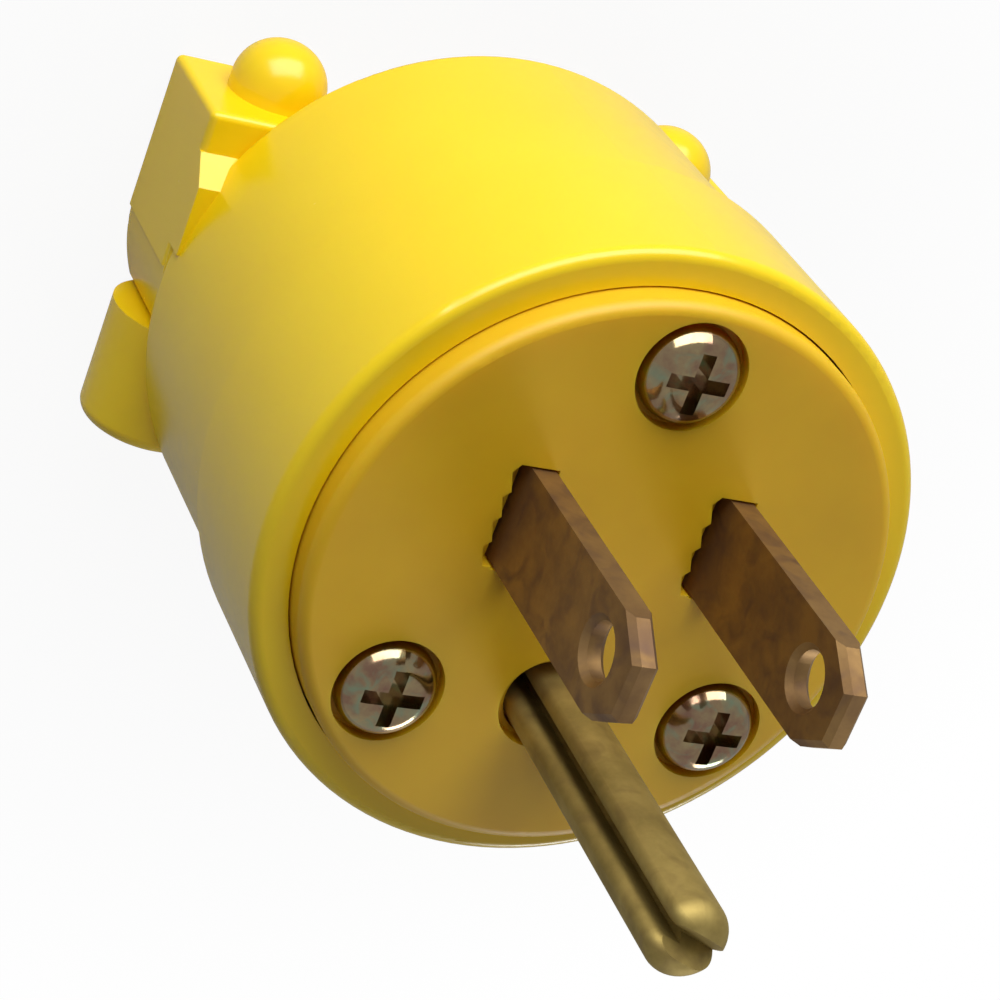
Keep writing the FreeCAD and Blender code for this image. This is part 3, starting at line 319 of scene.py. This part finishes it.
class PlugStageSettings(bpy.types.PropertyGroup):
    """Camera, lamps and room"""
    place: FloatVectorProperty(
        name="Camera place", description="Camera from the middle of the plug's rear end",
        default=(80.9 * MM, -70.3 * MM, 170.2 * MM), subtype="TRANSLATION", unit="LENGTH")
    azimuth: FloatProperty(
        name="Camera azimuth",
        description="How far the view is turned from the ground pin's way, which is +Y",
        default=math.radians(-47.73), subtype="ANGLE")
    elevation: FloatProperty(
        name="Camera elevation", description="How far the camera looks down",
        default=math.radians(53.0), subtype="ANGLE")
    roll: FloatProperty(
        name="Camera roll", description="How far the camera is turned about its own view",
        default=math.radians(147.69), subtype="ANGLE")
    lens: FloatProperty(
        name="Lens", description="Focal length",
        default=108.0, min=10.0, subtype="DISTANCE_CAMERA")
    side_light: FloatProperty(
        name="Side light", description="Power of the softbox beside the plug's top face screw",
        default=3.6, min=0.0, unit="POWER")
    back_light: FloatProperty(
        name="Back light", description="Power of the weak softbox across from it",
        default=0.7, min=0.0, unit="POWER")
    room_light: FloatProperty(
        name="Room light", description="Strength of the pale room",
        default=0.105, min=0.0)


# Operators

class PLUG_OT_shell(bpy.types.Operator):
    """Finish the moulded shell and the loose half of its cord clamp"""
    bl_idname = "plug.shell"
    bl_label = "Shell and clamp"

    def execute(self, context):
        vinyl = moulded_vinyl(context.scene.plug_finish.softness)
        dress(["rear_shell", "clamp_saddle"], vinyl)
        return {"FINISHED"}


class PLUG_OT_front_disc(bpy.types.Operator):
    """Finish the insulating front disc"""
    bl_idname = "plug.front_disc"
    bl_label = "Front disc"

    def execute(self, context):
        dress(["front_disc"], amber_nylon())
        return {"FINISHED"}


class PLUG_OT_prongs(bpy.types.Operator):
    """Finish the two blades and the ground pin with its strap"""
    bl_idname = "plug.prongs"
    bl_label = "Prongs"

    def execute(self, context):
        rough = context.scene.plug_finish.tarnish
        # Rolled brass gone brown in use: dull patches over fine rolling lines
        brass = metal("tarnished_brass", clean="#A08052", dull="#846746", tint="#70584A",
                      rough=rough, patch=PRONG_PATCH, line=PRONG_LINE)
        # Brass folded into a pin: more olive than brown, and duller than the blades
        folded = metal("folded_brass", clean="#B09C5E", dull="#92804A", tint="#8C784A",
                       rough=rough + 0.1, patch=PRONG_PATCH, line=PRONG_LINE)
        dress(["line_blade", "neutral_blade"], brass)
        dress(["ground_pin", "ground_strap"], folded)
        return {"FINISHED"}


class PLUG_OT_insulators(bpy.types.Operator):
    """Finish the terminal carrier, the screw retainers and the cord seal"""
    bl_idname = "plug.insulators"
    bl_label = "Insulators and seal"

    def execute(self, context):
        # Phenolic with wood filler: nearly black, with a dull sheen
        phenolic = plain_moulding("filled_phenolic", light="#2A2420", dark="#1C1815",
                                  rough=0.45, lump=0.8)
        # Vulcanised fibre: dull red, slightly mottled
        fibre = plain_moulding("vulcanised_fibre", light="#8A3A24", dark="#702C1A",
                               rough=0.7, lump=0.6)
        # Soft black rubber with a bloom
        rubber = plain_moulding("seal_rubber", light="#1A1A1A", dark="#262626",
                                rough=0.75, lump=0.5)
        dress(["terminal_carrier"], phenolic)
        dress(["screw_retainers"], fibre)
        dress(["cord_seal"], rubber)
        return {"FINISHED"}


class PLUG_OT_terminals(bpy.types.Operator):
    """Finish the terminal screws and their pressure plates"""
    bl_idname = "plug.terminals"
    bl_label = "Terminals"

    def execute(self, context):
        # Turned brass, nickel plate and green lacquer tell the three terminals apart
        brass = metal("turned_brass", clean="#D8B060", dull="#B08A40", tint="#A87848",
                      rough=0.25, patch=2.5, line=0.3)
        nickel = metal("nickel_plate", clean="#CFCBC2", dull="#B0ABA2", tint="#B8B09C",
                       rough=0.22, patch=2.5, line=0.3)
        green = metal("green_lacquer", clean="#2F8A45", dull="#1F6A33", tint="#3A7A3A",
                      rough=0.32, patch=2.5, line=0.3)
        # Zinc plate: pale grey and a little dull
        plate = metal("zinc_plate", clean="#C6C6C2", dull="#A3A39E", tint="#B0AAA0",
                      rough=0.34, patch=2.0, line=0.3)
        dress(["line_terminal_screw"], brass)
        dress(["neutral_terminal_screw"], nickel)
        dress(["ground_terminal_screw"], green)
        dress(["line_pressure_plate", "neutral_pressure_plate", "ground_pressure_plate"], plate)
        return {"FINISHED"}


class PLUG_OT_fasteners(bpy.types.Operator):
    """Finish the face screws, clamp screws, nuts and inserts"""
    bl_idname = "plug.fasteners"
    bl_label = "Fasteners"

    def execute(self, context):
        # Chromated zinc plate: a near mirror, brownish with a bloom of pink and grey-green
        # Lighter and yellower than bare chromate, partly as painted reflection of the yellow
        # plastic round the screws
        screw = metal("chromated_zinc", clean="#A89670", dull="#8C6C5A", tint="#86987E",
                      rough=0.12, patch=1.8, line=0.25)
        # Turned brass inserts: bright yellow, with lathe lines
        insert = metal("insert_brass", clean="#C8A050", dull="#A58038", tint="#B08850",
                       rough=0.32, patch=2.0, line=0.3)
        dress(["face_screws", "clamp_screws", "clamp_nuts"], screw)
        dress(["thread_inserts"], insert)
        return {"FINISHED"}


class PLUG_OT_threads(bpy.types.Operator):
    """Wind the thread of each screw that has one"""
    bl_idname = "plug.threads"
    bl_label = "Screw threads"

    def execute(self, context):
        pitch = context.scene.plug_finish.pitch
        tree = thread_tree()
        sockets = {item.name: item.identifier for item in tree.interface.items_tree
                   if item.in_out == "INPUT"}
        upright = Matrix.Identity(4)
        # Away from the ground pin, the way that the clamp screws point
        lying = Matrix.Rotation(math.radians(90), 4, "X")
        side = FACE_SCREW_CIRCLE * math.sin(FACE_SCREW_ANGLE)
        low = -FACE_SCREW_CIRCLE * math.cos(FACE_SCREW_ANGLE)
        top_foot = (0, -FACE_SCREW_CIRCLE, FACE_THREAD_FOOT)
        right_foot = (-side, low, FACE_THREAD_FOOT)
        left_foot = (side, low, FACE_THREAD_FOOT)
        across, ahead, up = CLAMP_THREAD_FOOT
        # Each thread: name, node that it belongs to, foot in mm, turn, then radius and length
        runs = [
            ("face_thread_top", "face_screws", top_foot, upright, FACE_THREAD),
            ("face_thread_right", "face_screws", right_foot, upright, FACE_THREAD),
            ("face_thread_left", "face_screws", left_foot, upright, FACE_THREAD),
            ("clamp_thread_right", "clamp_screws", (-across, ahead, up), lying, CLAMP_THREAD),
            ("clamp_thread_left", "clamp_screws", (across, ahead, up), lying, CLAMP_THREAD),
        ]
        for name, node, foot, turned, (radius, length) in runs:
            mesh = bpy.data.meshes.new(name + "_start")
            maker = bpy.data.objects.new(name + "_start", mesh)
            context.scene.collection.objects.link(maker)
            wound = maker.modifiers.new("thread", "NODES")
            wound.node_group = tree
            wound[sockets["Radius"]] = radius * MM
            wound[sockets["Pitch"]] = pitch
            wound[sockets["Turns"]] = length * MM / pitch
            wound[sockets["Ridge"]] = THREAD_RIDGE * MM
            wound[sockets["Finish"]] = NODES[node].data.materials[0]
            ready = maker.evaluated_get(context.evaluated_depsgraph_get())
            made = bpy.data.meshes.new_from_object(ready)
            bpy.data.objects.remove(maker)
            made.transform(Matrix.Translation(Vector(foot) * MM) @ turned)
            piece = bpy.data.objects.new(name, made)
            context.scene.collection.objects.link(piece)
            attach(piece, "root")
        return {"FINISHED"}


class PLUG_OT_stage(bpy.types.Operator):
    """Set up the pale floor, the soft light and the camera"""
    bl_idname = "plug.stage"
    bl_label = "Stage"

    def execute(self, context):
        settings = context.scene.plug_stage
        self.lay_floor(context)
        self.light_room(context, settings.room_light)

        # Lamps: name, place in metres, width and height in metres, power in watts
        lamps = [
            ("side_softbox", (0.04, -0.43, 0.13), (0.60, 0.40), settings.side_light),
            ("back_softbox", (-0.3, 0.4, 0.16), (0.16, 0.16), settings.back_light),
        ]
        for name, place, (width, height), power in lamps:
            lamp = bpy.data.lights.new(name, "AREA")
            lamp.shape = "RECTANGLE"
            lamp.size = width
            lamp.size_y = height
            lamp.energy = power
            holder = bpy.data.objects.new(name, lamp)
            holder.location = Vector(place)
            view = LAMP_AIM - Vector(place)
            holder.rotation_euler = view.to_track_quat("-Z", "Y").to_euler()
            context.scene.collection.objects.link(holder)

        self.place_camera(context, settings)
        context.scene.view_settings.view_transform = "Standard"
        return {"FINISHED"}

    def lay_floor(self, context):
        """A square of paper just under the plug."""
        low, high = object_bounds()
        middle = (low + high) / 2
        corners = [(middle.x + x * FLOOR_HALF, middle.y + y * FLOOR_HALF, low.z - FLOOR_GAP)
                   for x, y in ((-1, -1), (1, -1), (1, 1), (-1, 1))]
        sheet = bpy.data.meshes.new("floor")
        sheet.from_pydata(corners, [], [(0, 1, 2, 3)])
        sheet.materials.append(white_paper())
        floor = bpy.data.objects.new("floor", sheet)
        context.scene.collection.objects.link(floor)
        floor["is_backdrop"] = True

    def light_room(self, context, room_light):
        """A pale room that gives little light and is white to the camera."""
        world = bpy.data.worlds.new("pale_room")
        context.scene.world = world
        world.use_nodes = True
        tree = world.node_tree
        tree.nodes.clear()
        strength = add(tree, "ShaderNodeMapRange", {"To Min": room_light, "To Max": 1.0},
                       {"Value": backdrop_share(tree, gloss=0.45)})
        room = add(tree, "ShaderNodeBackground", {"Color": linear("#FFFFFF")},
                   {"Strength": strength.outputs[0]})
        add(tree, "ShaderNodeOutputWorld", links={"Surface": room.outputs[0]})

    def place_camera(self, context, settings):
        """The camera as the photograph was taken, turned about its own view."""
        lens = bpy.data.cameras.new("camera")
        lens.lens = settings.lens
        lens.sensor_width = 36.0
        lens.clip_start = 5 * MM
        ahead = Vector((
            math.sin(settings.azimuth) * math.cos(settings.elevation),
            math.cos(settings.azimuth) * math.cos(settings.elevation),
            -math.sin(settings.elevation)))
        level = ahead.to_track_quat("-Z", "Y")
        camera = bpy.data.objects.new("camera", lens)
        camera.rotation_mode = "QUATERNION"
        camera.rotation_quaternion = level @ Quaternion((0.0, 0.0, 1.0), settings.roll)
        camera.location = Vector(settings.place)
        context.scene.collection.objects.link(camera)
        context.scene.camera = camera


class PLUG_PT_panel(bpy.types.Panel):
    """The plug's pieces, finishes and stage"""
    bl_idname = "PLUG_PT_panel"
    bl_label = "Three-pin plug"
    bl_space_type = "VIEW_3D"
    bl_region_type = "UI"
    bl_category = "Plug"

    def draw(self, context):
        layout = self.layout
        for group in (context.scene.plug_finish, context.scene.plug_stage):
            box = layout.box()
            for name in group.__annotations__:
                box.prop(group, name)
        for operator in OPERATORS:
            layout.operator(operator.bl_idname)


SETTINGS = {"plug_finish": PlugFinishSettings, "plug_stage": PlugStageSettings}
OPERATORS = [
    PLUG_OT_shell,
    PLUG_OT_front_disc,
    PLUG_OT_prongs,
    PLUG_OT_insulators,
    PLUG_OT_terminals,
    PLUG_OT_fasteners,
    PLUG_OT_threads,
    PLUG_OT_stage,
]
CLASSES = [*SETTINGS.values(), *OPERATORS, PLUG_PT_panel]


def register():
    """Registers the settings, the operators and the panel."""
    for kind in CLASSES:
        bpy.utils.register_class(kind)
    for name, kind in SETTINGS.items():
        setattr(bpy.types.Scene, name, PointerProperty(type=kind))


def unregister():
    """Takes away what register() added."""
    for name in SETTINGS:
        delattr(bpy.types.Scene, name)
    for kind in reversed(CLASSES):
        bpy.utils.unregister_class(kind)


def main():
    """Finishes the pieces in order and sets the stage."""
    register()
    bpy.ops.plug.shell()
    bpy.ops.plug.front_disc()
    bpy.ops.plug.prongs()
    bpy.ops.plug.insulators()
    bpy.ops.plug.terminals()
    bpy.ops.plug.fasteners()
    bpy.ops.plug.threads()
    bpy.ops.plug.stage()


if __name__ == "__main__":
    main()
